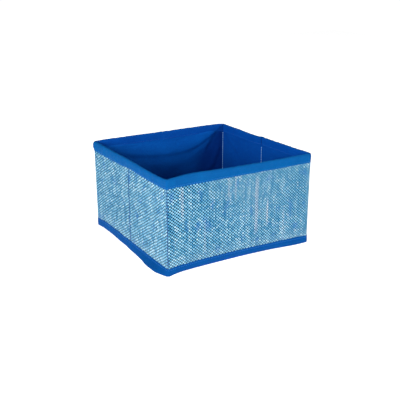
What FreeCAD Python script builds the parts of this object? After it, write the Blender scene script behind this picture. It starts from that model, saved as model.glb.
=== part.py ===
import FreeCAD, Part

import os

# Fabric storage bin: an open square box of stiffened cloth panels.
# The front and rear walls are single panels. Each side is two leaves with a
# fold seam between them, so that the bin folds flat front to rear once its
# loose base insert is out.
# Frame: origin at the middle of the underside, +Z up, -Y the front, X across.
# All lengths in millimetres.

# ---- driving dimensions -------------------------------------------------
WIDTH = 280.0          # X, over the bindings
DEPTH = 270.0          # Y, over the bindings
HEIGHT = 160.0         # Z, floor to rim

TAPE = 0.8             # binding tape thickness
OUTER = 1.0            # outer woven fabric thickness
BOARD = 2.0            # stiffener board thickness
LINING = 0.5           # lining cloth thickness

TOP_LEG_OUT = 16.0     # height of the top binding, outside
TOP_LEG_IN = 15.0      # height of the top binding, inside
BOTTOM_LEG = 12.0      # height of the bottom binding
BOTTOM_THICK = 3.6     # bottom binding with the seam edges it wraps

WALL_Z0 = 12.0         # the stiffened wall starts above the bottom binding
BOARD_Z0 = 13.2
BOARD_Z1 = 157.0
BOARD_MARGIN = 1.0     # from a board's side edge to its pocket's edge

GAP = 0.3              # between pieces that move against each other

FLOOR_THICK = 0.8
INSERT_X = 265.0
INSERT_Y = 255.0
INSERT_Z0 = 1.1
INSERT_SKIN = 0.6      # cover cloth of the base insert
INSERT_BOARD = 2.0
INSERT_HEM = 18.0      # cover cloth turned in under the board
INSERT_CORNER = 6.0    # corner radius of the insert

AXIS_IN = 0.2          # corner fold axis, inside the binding's inner face
AXIS_OUT = 0.15        # middle fold axis, outside the binding's outer face
CORNER_SEAM_R = 0.7    # rolled seam with its thread, inside each corner
MID_SEAM_R = 0.25      # thread of the middle fold seam
SEAM_Z0 = 13.0
SEAM_Z1 = 143.0

# ---- derived positions ---------------------------------------------------
HX, HY = WIDTH / 2, DEPTH / 2
RIM = TAPE + OUTER + BOARD + LINING + TAPE       # wall thickness at the rim
IX, IY = HX - RIM, HY - RIM                      # binding inner faces
CX, CY = IX - AXIS_IN, IY - AXIS_IN              # corner fold axes
LEAF_Y1 = IY - GAP                               # outer end of a leaf
LEAF_Y0 = GAP / 2                                # middle end of a leaf
# layer faces, measured inward from the binding's outer face
L1 = TAPE
L2 = L1 + OUTER
L3 = L2 + BOARD
L4 = L3 + LINING


def box(x0, y0, z0, x1, y1, z1):
    xa, xb = sorted((x0, x1))
    ya, yb = sorted((y0, y1))
    za, zb = sorted((z0, z1))
    return Part.makeBox(xb - xa, yb - ya, zb - za, FreeCAD.Vector(xa, ya, za))


def solid(shape):
    s = shape.removeSplitter()
    if s.ShapeType != "Solid" and len(s.Solids) == 1:
        s = s.Solids[0]
    return s


def mirror_x(s):
    return s.mirror(FreeCAD.Vector(0, 0, 0), FreeCAD.Vector(1, 0, 0))


def mirror_y(s):
    return s.mirror(FreeCAD.Vector(0, 0, 0), FreeCAD.Vector(0, 1, 0))


parts = {}

# ---- front wall, then the rear wall as its mirror ------------------------
# It owns the corner columns, so its cloth turns round both ends.
wall = {}

sheet = box(-HX + L1, -HY + L1, WALL_Z0, HX - L1, -HY + L2, HEIGHT - TAPE)
for s in (-1, 1):
    sheet = sheet.fuse(
        box(s * (HX - L1), -HY + L2, WALL_Z0, s * (HX - L2), -HY + L4, HEIGHT - TAPE)
    )
wall["outer_fabric"] = solid(sheet)

wall["board"] = box(
    -HX + L2 + BOARD_MARGIN, -HY + L2, BOARD_Z0,
    HX - L2 - BOARD_MARGIN, -HY + L3, BOARD_Z1,
)
wall["lining"] = box(
    -HX + L2, -HY + L3, WALL_Z0, HX - L2, -HY + L4, HEIGHT - TAPE
)

cap = box(-HX, -HY, HEIGHT - TOP_LEG_OUT, HX, -IY, HEIGHT)
cap = cap.cut(
    box(-HX + L1, -HY + L1, 0, HX - L1, -HY + L4, HEIGHT - TAPE)
)
cap = cap.cut(
    box(-HX + L1, -HY + L1, 0, HX - L1, -IY + 1, HEIGHT - TOP_LEG_IN)
)
wall["top_binding"] = solid(cap)

bar = box(-HX, -HY, 0, HX, -HY + BOTTOM_THICK, BOTTOM_LEG)
for s in (-1, 1):
    bar = bar.fuse(
        box(s * HX, -HY + BOTTOM_THICK, 0, s * (HX - BOTTOM_THICK), -IY, BOTTOM_LEG)
    )
wall["bottom_binding"] = solid(bar)

for name, s in wall.items():
    parts["front_" + name] = s
    parts["rear_" + name] = mirror_y(s)

# ---- side leaves: left front, then its mirrors ----------------------------
leaf = {}
leaf["outer_fabric"] = box(
    -HX + L1, -LEAF_Y1, WALL_Z0, -HX + L2, -LEAF_Y0, HEIGHT - TAPE
)
leaf["board"] = box(
    -HX + L2, -LEAF_Y1 + BOARD_MARGIN, BOARD_Z0,
    -HX + L3, -LEAF_Y0 - BOARD_MARGIN, BOARD_Z1,
)
leaf["lining"] = box(
    -HX + L3, -LEAF_Y1, WALL_Z0, -HX + L4, -LEAF_Y0, HEIGHT - TAPE
)
cap = box(-HX, -LEAF_Y1, HEIGHT - TOP_LEG_OUT, -IX, -LEAF_Y0, HEIGHT)
cap = cap.cut(
    box(-HX + L1, -HY, 0, -HX + L4, HY, HEIGHT - TAPE)
)
cap = cap.cut(
    box(-HX + L1, -HY, 0, -IX + 1, HY, HEIGHT - TOP_LEG_IN)
)
leaf["top_binding"] = solid(cap)
leaf["bottom_binding"] = box(
    -HX, -LEAF_Y1, 0, -HX + BOTTOM_THICK, -LEAF_Y0, BOTTOM_LEG
)
for name, s in leaf.items():
    parts["left_front_" + name] = s
    parts["left_rear_" + name] = mirror_y(s)
    parts["right_front_" + name] = mirror_x(s)
    parts["right_rear_" + name] = mirror_x(mirror_y(s))

# ---- seams ----------------------------------------------------------------
# Corner seam: the lining's rolled edge with its thread, on the corner fold
# axis, with a narrow web back to the front or rear wall's lining.
height = SEAM_Z1 - SEAM_Z0
seam = Part.makeCylinder(
    CORNER_SEAM_R, height, FreeCAD.Vector(-CX, -CY, SEAM_Z0), FreeCAD.Vector(0, 0, 1)
)
seam = seam.fuse(box(-CX - 0.3, -HY + L4, SEAM_Z0, -CX + 0.3, -CY, SEAM_Z1))
seam = solid(seam)
parts["front_left_corner_seam"] = seam
parts["front_right_corner_seam"] = mirror_x(seam)
parts["rear_left_corner_seam"] = mirror_y(seam)
parts["rear_right_corner_seam"] = mirror_x(mirror_y(seam))

# Middle fold seam: one thread outside, on the front leaf's edge, beside the
# middle fold axis at x = -(HX + AXIS_OUT), y = 0.
mx = -HX + MID_SEAM_R
seam = Part.makeCylinder(
    MID_SEAM_R, height, FreeCAD.Vector(mx, 0, SEAM_Z0), FreeCAD.Vector(0, 0, 1)
)
seam = seam.fuse(box(mx, -0.6, SEAM_Z0, -HX + L1, 0, SEAM_Z1))
seam = solid(seam)
parts["left_middle_seam"] = seam
parts["right_middle_seam"] = mirror_x(seam)

# ---- floor fabric ----------------------------------------------------------
# It meets the front bottom binding and stays clear of the moving ones.
fx = HX - BOTTOM_THICK - GAP
parts["floor_fabric"] = box(
    -fx, -HY + BOTTOM_THICK, 0, fx, HY - BOTTOM_THICK - GAP, FLOOR_THICK
)

# ---- loose base insert -------------------------------------------------------


def plate(x, y, z0, z1, r):
    b = box(-x / 2, -y / 2, z0, x / 2, y / 2, z1)
    edges = [
        e for e in b.Edges
        if abs(e.Vertexes[0].Point.z - e.Vertexes[1].Point.z) > 1e-6
    ]
    return b.makeFillet(r, edges)


iz0 = INSERT_Z0
iz1 = iz0 + INSERT_SKIN
iz2 = iz1 + INSERT_BOARD
iz3 = iz2 + INSERT_SKIN
bx, by = INSERT_X - 2 * INSERT_SKIN, INSERT_Y - 2 * INSERT_SKIN
br = INSERT_CORNER - INSERT_SKIN
parts["insert_board"] = plate(bx, by, iz1, iz2, br)
cover = plate(INSERT_X, INSERT_Y, iz0, iz3, INSERT_CORNER)
cover = cover.cut(plate(bx, by, iz1, iz2, br))
cover = cover.cut(
    plate(INSERT_X - 2 * INSERT_HEM, INSERT_Y - 2 * INSERT_HEM, iz0 - 1, iz1, 2.0)
)
parts["insert_cover"] = solid(cover)

# ---- write -----------------------------------------------------------------
os.makedirs("parts", exist_ok=True)
for name, shape in sorted(parts.items()):
    if shape.ShapeType != "Solid":
        if len(shape.Solids) != 1:
            raise RuntimeError(name + " is not one solid")
        shape = shape.Solids[0]
    if not shape.isValid() or shape.Volume <= 0:
        raise RuntimeError(name + " is not a valid solid")
    shape.exportStep("parts/" + name + ".step")
    b = shape.BoundBox
    print(
        "%-28s vol %10.1f  x %8.2f %8.2f  y %8.2f %8.2f  z %7.2f %7.2f"
        % (name, shape.Volume, b.XMin, b.XMax, b.YMin, b.YMax, b.ZMin, b.ZMax)
    )
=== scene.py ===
import math

import bpy
import numpy as np
from mathutils import Matrix, Vector


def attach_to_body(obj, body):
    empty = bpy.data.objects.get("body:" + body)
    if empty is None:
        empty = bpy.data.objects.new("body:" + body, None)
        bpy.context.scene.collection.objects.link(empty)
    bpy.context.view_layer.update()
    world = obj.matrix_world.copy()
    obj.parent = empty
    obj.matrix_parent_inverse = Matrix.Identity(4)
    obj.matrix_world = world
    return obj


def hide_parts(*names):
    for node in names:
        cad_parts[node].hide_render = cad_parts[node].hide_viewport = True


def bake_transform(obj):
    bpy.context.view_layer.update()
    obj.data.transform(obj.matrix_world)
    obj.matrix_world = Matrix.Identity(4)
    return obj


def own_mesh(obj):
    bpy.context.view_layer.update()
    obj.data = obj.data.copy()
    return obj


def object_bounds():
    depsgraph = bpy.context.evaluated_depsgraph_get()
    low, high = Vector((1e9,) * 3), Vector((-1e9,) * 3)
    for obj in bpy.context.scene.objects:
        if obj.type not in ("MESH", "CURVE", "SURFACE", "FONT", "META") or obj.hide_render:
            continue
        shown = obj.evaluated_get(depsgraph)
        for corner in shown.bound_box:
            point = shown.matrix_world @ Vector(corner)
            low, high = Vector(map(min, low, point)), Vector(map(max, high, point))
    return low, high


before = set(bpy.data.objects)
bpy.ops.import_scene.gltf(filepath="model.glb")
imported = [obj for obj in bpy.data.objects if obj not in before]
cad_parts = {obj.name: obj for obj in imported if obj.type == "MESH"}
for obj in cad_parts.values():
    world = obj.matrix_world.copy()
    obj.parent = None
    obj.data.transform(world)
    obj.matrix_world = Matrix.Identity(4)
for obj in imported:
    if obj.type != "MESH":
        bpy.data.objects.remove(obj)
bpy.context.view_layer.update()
scene = bpy.context.scene
MM = 0.001

# ------------------------------------------------------------------ sizes
lo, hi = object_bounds()
HX, HY, HZ = (round(v / MM, 2) for v in hi)       # 140, 135, 160
AX = HX - 5.3                                       # corner fold axes
AY = HY - 5.3
R = 3.0                                             # plan radius of the rim corners
LEAF_END = HY - 5.25                                # where a leaf meets a corner column

# depths of the layers, measured inward from the binding's outer face
D_OUT0, D_OUT1 = 0.8, 1.8
D_BRD0, D_BRD1 = 1.9, 3.7
D_LIN0, D_LIN1 = 3.8, 4.3
rng = np.random.default_rng(7)


def smooth(a, b, x):
    t = np.clip((np.asarray(x, float) - a) / (b - a), 0, 1)
    return t * t * (3 - 2 * t)


def bell(x, w):
    return np.exp(-((np.asarray(x, float) / w) ** 2))


# ------------------------------------------------------------------ the columns round the bin
def straight(p, q, stops, step):
    """Points from p to q at about step apart, with extra stops as fractions kept exactly."""
    out = []
    for a, b, st in zip(stops[:-1], stops[1:], step):
        n = max(1, int(round(abs(b - a) / st)))
        out += [a + (b - a) * i / n for i in range(n)]
    out.append(stops[-1])
    return np.array(out)


cols = []       # (x, y, nx, ny, s)
mark = {}       # names of columns
ARC = [0, 15, 30, 45, 60, 75, 90]
FRONT_STOPS = [-HX + R, -134.75, -125, 125, 134.75, HX - R]
SIDE_STOPS = [-HY + R, -LEAF_END, -120, -9, 0, 9, 120, LEAF_END, HY - R]
STEP = 2.0


def add(x, y, nx, ny, s, name=None):
    cols.append((x, y, nx, ny, s))
    if name:
        mark[name] = len(cols) - 1


s0 = 0.0
for x in straight(0, 0, FRONT_STOPS, [0.75, 1.7, STEP, 1.7, 0.75])[:-1]:
    nm = {-125.0: "front_a", 125.0: "front_b"}.get(round(float(x), 3))
    add(x, -HY, 0, -1, s0 + x + HX - R, nm)
s0 += 2 * (HX - R)
arc_len = math.pi / 2 * R


def arc(cx, cy, start, flip, names, s_at):
    """A quarter turn. start is the angle where it begins; flip says that the side wall is at its end."""
    angles = [90 - a for a in reversed(ARC)] if flip else list(ARC)
    angles = sorted(angles)
    for a in angles[:-1]:
        th = math.radians(start + a)
        nm = None
        side = 90 - a if flip else a
        if abs(side - 45) < 1e-6:
            nm = names + "_mid"
        add(cx + R * math.cos(th), cy + R * math.sin(th), math.cos(th), math.sin(th), s_at + arc_len * a / 90, nm)


arc(HX - R, -HY + R, -90, True, "fr", s0)
s0 += arc_len
for y in straight(0, 0, SIDE_STOPS, [0.75, 1.7, STEP, 1.0, 1.0, STEP, 1.7, 0.75])[:-1]:
    nm = {-LEAF_END: "fr_split", -120.0: "right_a", -9.0: "right_b", 0.0: "right_mid", 9.0: "right_c", 120.0: "right_d", LEAF_END: "rr_split"}.get(round(float(y), 3))
    add(HX, y, 1, 0, s0 + y + HY - R, nm)
s0 += 2 * (HY - R)
arc(HX - R, HY - R, 0, False, "rr", s0)
s0 += arc_len
for x in straight(0, 0, FRONT_STOPS, [0.75, 1.7, STEP, 1.7, 0.75])[:-1]:
    add(-x, HY, 0, 1, s0 + x + HX - R)
s0 += 2 * (HX - R)
arc(-HX + R, HY - R, 90, True, "rl", s0)
s0 += arc_len
for y in straight(0, 0, SIDE_STOPS, [0.75, 1.7, STEP, 1.0, 1.0, STEP, 1.7, 0.75])[:-1]:
    nm = {-LEAF_END: "rl_split", -120.0: "left_a", -9.0: "left_b0", 0.0: "left_mid", 9.0: "left_b", 120.0: "left_d", LEAF_END: "fl_split"}.get(round(float(y), 3))
    add(-HX, -y, -1, 0, s0 + y + HY - R, nm)
s0 += 2 * (HY - R)
arc(-HX + R, -HY + R, 180, False, "fl", s0)
s0 += arc_len
PERIM = s0
COL = np.array(cols)
NC = len(COL)
P0, NRM, SC = COL[:, 0:2], COL[:, 2:4], COL[:, 4]

# s of a place on each wall
S_FRONT = lambda x: x + HX - R
S_RIGHT = lambda y: 2 * (HX - R) + arc_len + y + HY - R
S_REAR = lambda x: 2 * (HX - R) + 2 * arc_len + 2 * (HY - R) + (HX - R) - x
S_LEFT = lambda y: 4 * (HX - R) + 3 * arc_len + 2 * (HY - R) + (HY - R) - y
S_FL = PERIM - arc_len / 2
S_FR = S_FRONT(HX - R) + arc_len / 2
S_RR = S_RIGHT(HY - R) + arc_len / 2
S_RL = S_REAR(-HX + R) + arc_len / 2


def ring(points):
    """A smooth closed curve of s through (s, value) points."""
    pts = sorted((s % PERIM, v) for s, v in points)
    s = np.array([p[0] for p in pts])
    v = np.array([p[1] for p in pts])
    s = np.concatenate([s - PERIM, s, s + PERIM])
    v = np.concatenate([v, v, v])
    h = np.diff(s)
    d = np.diff(v) / h
    m = np.zeros(len(s))
    # monotone slopes, so that nothing overshoots
    for i in range(1, len(s) - 1):
        if d[i - 1] * d[i] > 0:
            w1, w2 = 2 * h[i] + h[i - 1], h[i] + 2 * h[i - 1]
            m[i] = (w1 + w2) / (w1 / d[i - 1] + w2 / d[i])

    def f(x):
        x = np.asarray(x, float) % PERIM
        i = np.clip(np.searchsorted(s, x) - 1, 0, len(s) - 2)
        t = (x - s[i]) / h[i]
        return (
            (2 * t**3 - 3 * t**2 + 1) * v[i]
            + (t**3 - 2 * t**2 + t) * h[i] * m[i]
            + (-2 * t**3 + 3 * t**2) * v[i + 1]
            + (t**3 - t**2) * h[i] * m[i + 1]
        )

    return f


def waves(seed, n, lo_len, hi_len):
    """Smooth periodic noise round the perimeter, about -1 to 1."""
    r = np.random.default_rng(seed)
    k = r.integers(int(PERIM / hi_len), int(PERIM / lo_len) + 1, n)
    ph = r.uniform(0, 2 * math.pi, n)
    am = r.uniform(0.5, 1, n)
    am /= np.sqrt((am**2).sum() / 2) * 1.6

    def f(s):
        s = np.asarray(s, float)
        return sum(a * np.sin(2 * math.pi * kk * s / PERIM + p) for a, kk, p in zip(am, k, ph))

    return f


# How far the soft walls stand out (+) or in (-), and up, of their straight lines.
rim_out = ring([
    (S_FRONT(-120), 0.1), (S_FRONT(-60), -0.2), (S_FRONT(0), -0.3), (S_FRONT(60), -0.1), (S_FRONT(112), 0.8),
    (S_FR, 2.9), (S_RIGHT(-100), 0.6), (S_RIGHT(-60), 0.0), (S_RIGHT(0), -0.4), (S_RIGHT(70), 0.0),
    (S_RR, 0.5), (S_REAR(60), -0.1), (S_REAR(-40), -0.1), (S_REAR(-110), 0.4),
    (S_RL, 2.2), (S_LEFT(112), 0.4), (S_LEFT(80), -0.6), (S_LEFT(40), -0.6), (S_LEFT(0), -0.3), (S_LEFT(-30), 0.2),
    (S_LEFT(-80), 0.8), (S_LEFT(-115), 0.8), (S_FL, 0.2),
])
rim_up = ring([
    (S_FRONT(-125), 1.2), (S_FRONT(-103), 3.0), (S_FRONT(-82), 3.1), (S_FRONT(-62), 2.6), (S_FRONT(-40), 1.8), (S_FRONT(0), 1.2), (S_FRONT(60), 1.1), (S_FRONT(115), 1.9), (S_FR, 2.8),
    (S_RIGHT(-100), 3.2), (S_RIGHT(-50), 3.2), (S_RIGHT(-12), 3.0), (S_RIGHT(0), 3.4), (S_RIGHT(14), 1.8), (S_RIGHT(35), 1.3), (S_RIGHT(80), 2.0), (S_RIGHT(115), 1.8), (S_RR, 2.0),
    (S_REAR(120), 3.4), (S_REAR(60), 3.7), (S_REAR(0), 3.5), (S_REAR(-60), 3.8), (S_REAR(-115), 3.6), (S_RL, 2.6), (S_LEFT(110), 1.2), (S_LEFT(60), -0.4), (S_LEFT(0), -0.4), (S_LEFT(-80), -1.8),
    (S_LEFT(-120), -1.4), (S_FL, -0.2),
])
seam_out = ring([
    (S_FRONT(-120), 0.0), (S_FRONT(-80), -0.8), (S_FRONT(-20), -1.1), (S_FRONT(60), -0.7), (S_FRONT(112), 0.2),
    (S_FR, 2.5), (S_RIGHT(-100), 0.4), (S_RIGHT(-60), -0.2), (S_RIGHT(0), -0.5), (S_RIGHT(70), -0.3),
    (S_RR, 0.2), (S_REAR(50), -0.8), (S_REAR(-50), -0.8), (S_REAR(-112), 0.0),
    (S_RL, 1.5), (S_LEFT(112), 0.0), (S_LEFT(80), -0.8), (S_LEFT(20), -0.6), (S_LEFT(-60), 0.2), (S_LEFT(-118), 0.8), (S_FL, 0.6),
])
seam_up = ring([
    (S_FRONT(-118), 0.2), (S_FRONT(-80), 1.4), (S_FRONT(-10), 1.8), (S_FRONT(70), 0.9), (S_FR, 0.3),
    (S_RIGHT(0), 0.7), (S_RR, 0.3), (S_REAR(0), 0.8), (S_RL, 2.4),
    (S_LEFT(104), 3.8), (S_LEFT(75), 3.0), (S_LEFT(50), 2.4), (S_LEFT(22), 1.4), (S_LEFT(-20), 0.6), (S_LEFT(-90), -0.9), (S_FL, -1.2),
])
foot_out = ring([
    (S_FRONT(-129), 1.4), (S_FRONT(-104), -0.8), (S_FRONT(-60), -2.4), (S_FRONT(0), -3.0), (S_FRONT(50), -1.4), (S_FRONT(90), 1.4), (S_FRONT(122), 2.8),
    (S_FR, 2.8), (S_RIGHT(-100), 1.2), (S_RIGHT(-20), -0.4), (S_RIGHT(50), -0.2), (S_RIGHT(105), 0.8),
    (S_RR, 0.4), (S_REAR(70), -0.8), (S_REAR(0), -1.4), (S_REAR(-80), -0.4),
    (S_RL, 1.2), (S_LEFT(110), -0.2), (S_LEFT(75), -0.4), (S_LEFT(40), 1.0), (S_LEFT(15), 1.6), (S_LEFT(-5), 3.6), (S_LEFT(-25), 4.8), (S_LEFT(-50), 7.0), (S_LEFT(-85), 11.4),
    (S_LEFT(-108), 11.6), (S_LEFT(-122), 8.2), (S_FL, 4.4),
])
foot_up = ring([
    (S_FRONT(-122), 1.0), (S_FRONT(-90), 3.0), (S_FRONT(-10), 3.8), (S_FRONT(40), 2.6), (S_FRONT(90), 0.9), (S_FRONT(122), 0.0), (S_FR, 0.0),
    (S_RIGHT(-60), 0.3), (S_RIGHT(0), 0.9), (S_RIGHT(60), 0.3), (S_RR, 0.0), (S_REAR(60), 0.4), (S_REAR(-20), 1.0),
    (S_RL, 1.4), (S_LEFT(110), 2.0), (S_LEFT(70), 1.2), (S_LEFT(10), 0.1), (S_LEFT(-60), 0.0), (S_FL, 0.0),
])
n_wall = waves(11, 9, 45, 150)
n_wall2 = waves(12, 9, 25, 80)
n_edge = waves(13, 12, 14, 60)
n_edge2 = waves(14, 12, 9, 35)


def corner_dist(s):
    s = np.asarray(s, float)
    d = [np.abs((s - c + PERIM / 2) % PERIM - PERIM / 2) for c in (S_FL, S_FR, S_RR, S_RL)]
    return np.minimum.reduce(d)


def mid_dist(s):
    s = np.asarray(s, float)
    d = [np.abs((s - c + PERIM / 2) % PERIM - PERIM / 2) for c in (S_LEFT(0), S_RIGHT(0))]
    return np.minimum.reduce(d)


def shift(s, z, foot=True):
    """Outward and upward shift of the wall's layers at s and z."""
    t = np.clip((z - 12) / (HZ - 12), 0, 1)
    T = t * t * (3 - 2 * t)
    out = seam_out(s) * (1 - T) + rim_out(s) * T
    up = seam_up(s) * (1 - T) + rim_up(s) * T
    # gentle unevenness of the panels, none at the corners and folds
    calm = smooth(6, 30, corner_dist(s)) * smooth(4, 22, mid_dist(s)) * 4 * t * (1 - t)
    out = out + calm * (0.34 * n_wall(s + 0.25 * z) + 0.16 * n_wall2(s - 0.4 * z))
    if foot:
        f = np.clip((12 - z) / 12, 0, 1)
        out = out + (foot_out(s) - seam_out(s)) * f**1.25
        up = up + (foot_up(s) - seam_up(s)) * f
    else:
        f = np.clip((12 - z) / 12, 0, 1)
        out = out + np.minimum(foot_out(s) - seam_out(s), 0) * f**1.25
        up = up * np.clip(z / 12, 0, 1)
    return out, up


SX = np.append(SC, PERIM)
PX = np.vstack([P0, P0[:1]])
NX = np.vstack([NRM, NRM[:1]])


def frame_at(s):
    s = np.asarray(s, float) % PERIM
    p = np.stack([np.interp(s, SX, PX[:, k]) for k in (0, 1)], -1)
    n = np.stack([np.interp(s, SX, NX[:, k]) for k in (0, 1)], -1)
    return p, n / np.linalg.norm(n, axis=-1, keepdims=True)


def corner_pull(v, half):
    """How much of a deep layer's corner shift a point takes, 0 along the wall to 1 in the corner's arc."""
    return np.interp(np.abs(v) - half, [-12.0, -5.25, -R], [0.0, 0.27, 1.0])


def place(s, d, z, foot=True):
    """Points at s round the bin, depth d and height z, with the wall's soft shift. Arrays broadcast."""
    s, d, z = np.broadcast_arrays(np.asarray(s, float), np.asarray(d, float), np.asarray(z, float))
    p, n = frame_at(s)
    out, up = shift(s, z, foot)
    deep = d - out
    # a layer deeper than the corner's radius keeps a small radius of its own
    over = np.maximum(deep - (R - 0.5), 0)
    along = over - deep
    x = p[..., 0] + n[..., 0] * along - np.sign(p[..., 0]) * over * corner_pull(p[..., 0], HX)
    y = p[..., 1] + n[..., 1] * along - np.sign(p[..., 1]) * over * corner_pull(p[..., 1], HY)
    return np.stack([x, y, np.maximum(z + up, 0.02)], -1)


# ------------------------------------------------------------------ mesh building
def ring_normals(g, periodic=True):
    du = np.roll(g, -1, 0) - np.roll(g, 1, 0) if periodic else np.gradient(g, axis=0)
    dv = np.gradient(g, axis=1)
    n = np.cross(du, dv)
    return n / np.maximum(np.linalg.norm(n, axis=-1, keepdims=True), 1e-12)


def span(a, b):
    """Column numbers from mark a to mark b going round."""
    i, j = mark[a], mark[b]
    return np.arange(i, j + 1) if j > i else np.concatenate([np.arange(i, NC), np.arange(0, j + 1)])


def strip(name, A, B, NA, NB, S, V, materials=(), second=None):
    """A closed thick strip: outer grid A and inner grid B, both (columns, rows, 3) in mm, with their normals.
    S and V are the cloth coordinates of columns and rows in mm. second marks the column gaps that take the second material."""
    nc, nr = A.shape[:2]
    verts = np.concatenate([A.reshape(-1, 3), B.reshape(-1, 3)]) * MM
    off = nc * nr
    i = np.arange(nc - 1)[:, None] * nr + np.arange(nr - 1)[None]
    fa = np.stack([i, i + nr, i + nr + 1, i + 1], -1).reshape(-1, 4)
    fb = fa[:, ::-1] + off
    k = np.arange(nc - 1) * nr
    r0 = np.stack([k, k + off, k + nr + off, k + nr], -1)
    k2 = k + nr - 1
    r1 = np.stack([k2, k2 + nr, k2 + nr + off, k2 + off], -1)
    j = np.arange(nr - 1)
    c0 = np.stack([j, j + 1, j + 1 + off, j + off], -1)
    j2 = j + (nc - 1) * nr
    c1 = np.stack([j2, j2 + off, j2 + 1 + off, j2 + 1], -1)
    faces = np.concatenate([fa, fb, r0, r1, c0, c1])
    me = bpy.data.meshes.new(name)
    me.vertices.add(len(verts))
    me.vertices.foreach_set("co", verts.astype(np.float32).ravel())
    me.loops.add(faces.size)
    me.loops.foreach_set("vertex_index", faces.ravel().astype(np.int32))
    me.polygons.add(len(faces))
    me.polygons.foreach_set("loop_start", np.arange(0, faces.size, 4, dtype=np.int32))
    me.update(calc_edges=True)
    uv = me.uv_layers.new(name="cloth")
    SV = np.stack(np.broadcast_arrays(S[:, None], V[None]), -1).reshape(-1, 2)
    SV = np.concatenate([SV, SV]) * MM
    uv.data.foreach_set("uv", SV[faces.ravel()].astype(np.float32).ravel())
    # normals: the grid's own on both faces, flat on the rims and ends
    VN = np.concatenate([NA.reshape(-1, 3), NB.reshape(-1, 3)])
    ln = VN[faces.ravel()].reshape(-1, 4, 3)
    flat = faces[len(fa) + len(fb):]
    p = verts[flat]
    fn = np.cross(p[:, 2] - p[:, 0], p[:, 3] - p[:, 1])
    fn /= np.maximum(np.linalg.norm(fn, axis=1, keepdims=True), 1e-15)
    ln[len(fa) + len(fb):] = fn[:, None]
    me.polygons.foreach_set("use_smooth", np.ones(len(faces), bool))
    me.normals_split_custom_set([tuple(v) for v in ln.reshape(-1, 3)])
    me.validate()
    ob = bpy.data.objects.new(name, me)
    scene.collection.objects.link(ob)
    for m in materials:
        me.materials.append(m)
    if second is not None:
        k = np.asarray(second, int)
        idx = np.concatenate([np.repeat(k, nr - 1), np.repeat(k, nr - 1), k, k, np.full(nr - 1, k[0]), np.full(nr - 1, k[-1])])
        me.polygons.foreach_set("material_index", idx.astype(np.int32))
    return ob


def layer(rows, da, db, extra_a=None, extra_b=None, foot=True):
    """Two grids round the whole bin at the heights in rows, at depths da (outer) and db (inner)."""
    z = np.asarray(rows, float)
    s = SC[:, None]
    zz = np.broadcast_to(z[None], (NC, len(z)))
    a = np.broadcast_to(np.asarray(da, float), zz.shape).copy()
    b = np.broadcast_to(np.asarray(db, float), zz.shape).copy()
    if extra_a is not None:
        a = a + extra_a(s, zz)
    if extra_b is not None:
        b = b + extra_b(s, zz)
    A, B = place(s, a, zz, foot), place(s, b, zz, foot)
    return A, B, ring_normals(A), -ring_normals(B), z


def cut(L, a, b):
    """The columns of a layer from mark a to mark b."""
    A, B, NA, NB, v = L
    ci = span(a, b)
    s = SC[ci].copy()
    s[np.concatenate([[False], np.diff(s) < 0]).cumsum() > 0] += PERIM
    return A[ci], B[ci], NA[ci], NB[ci], s, v


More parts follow.
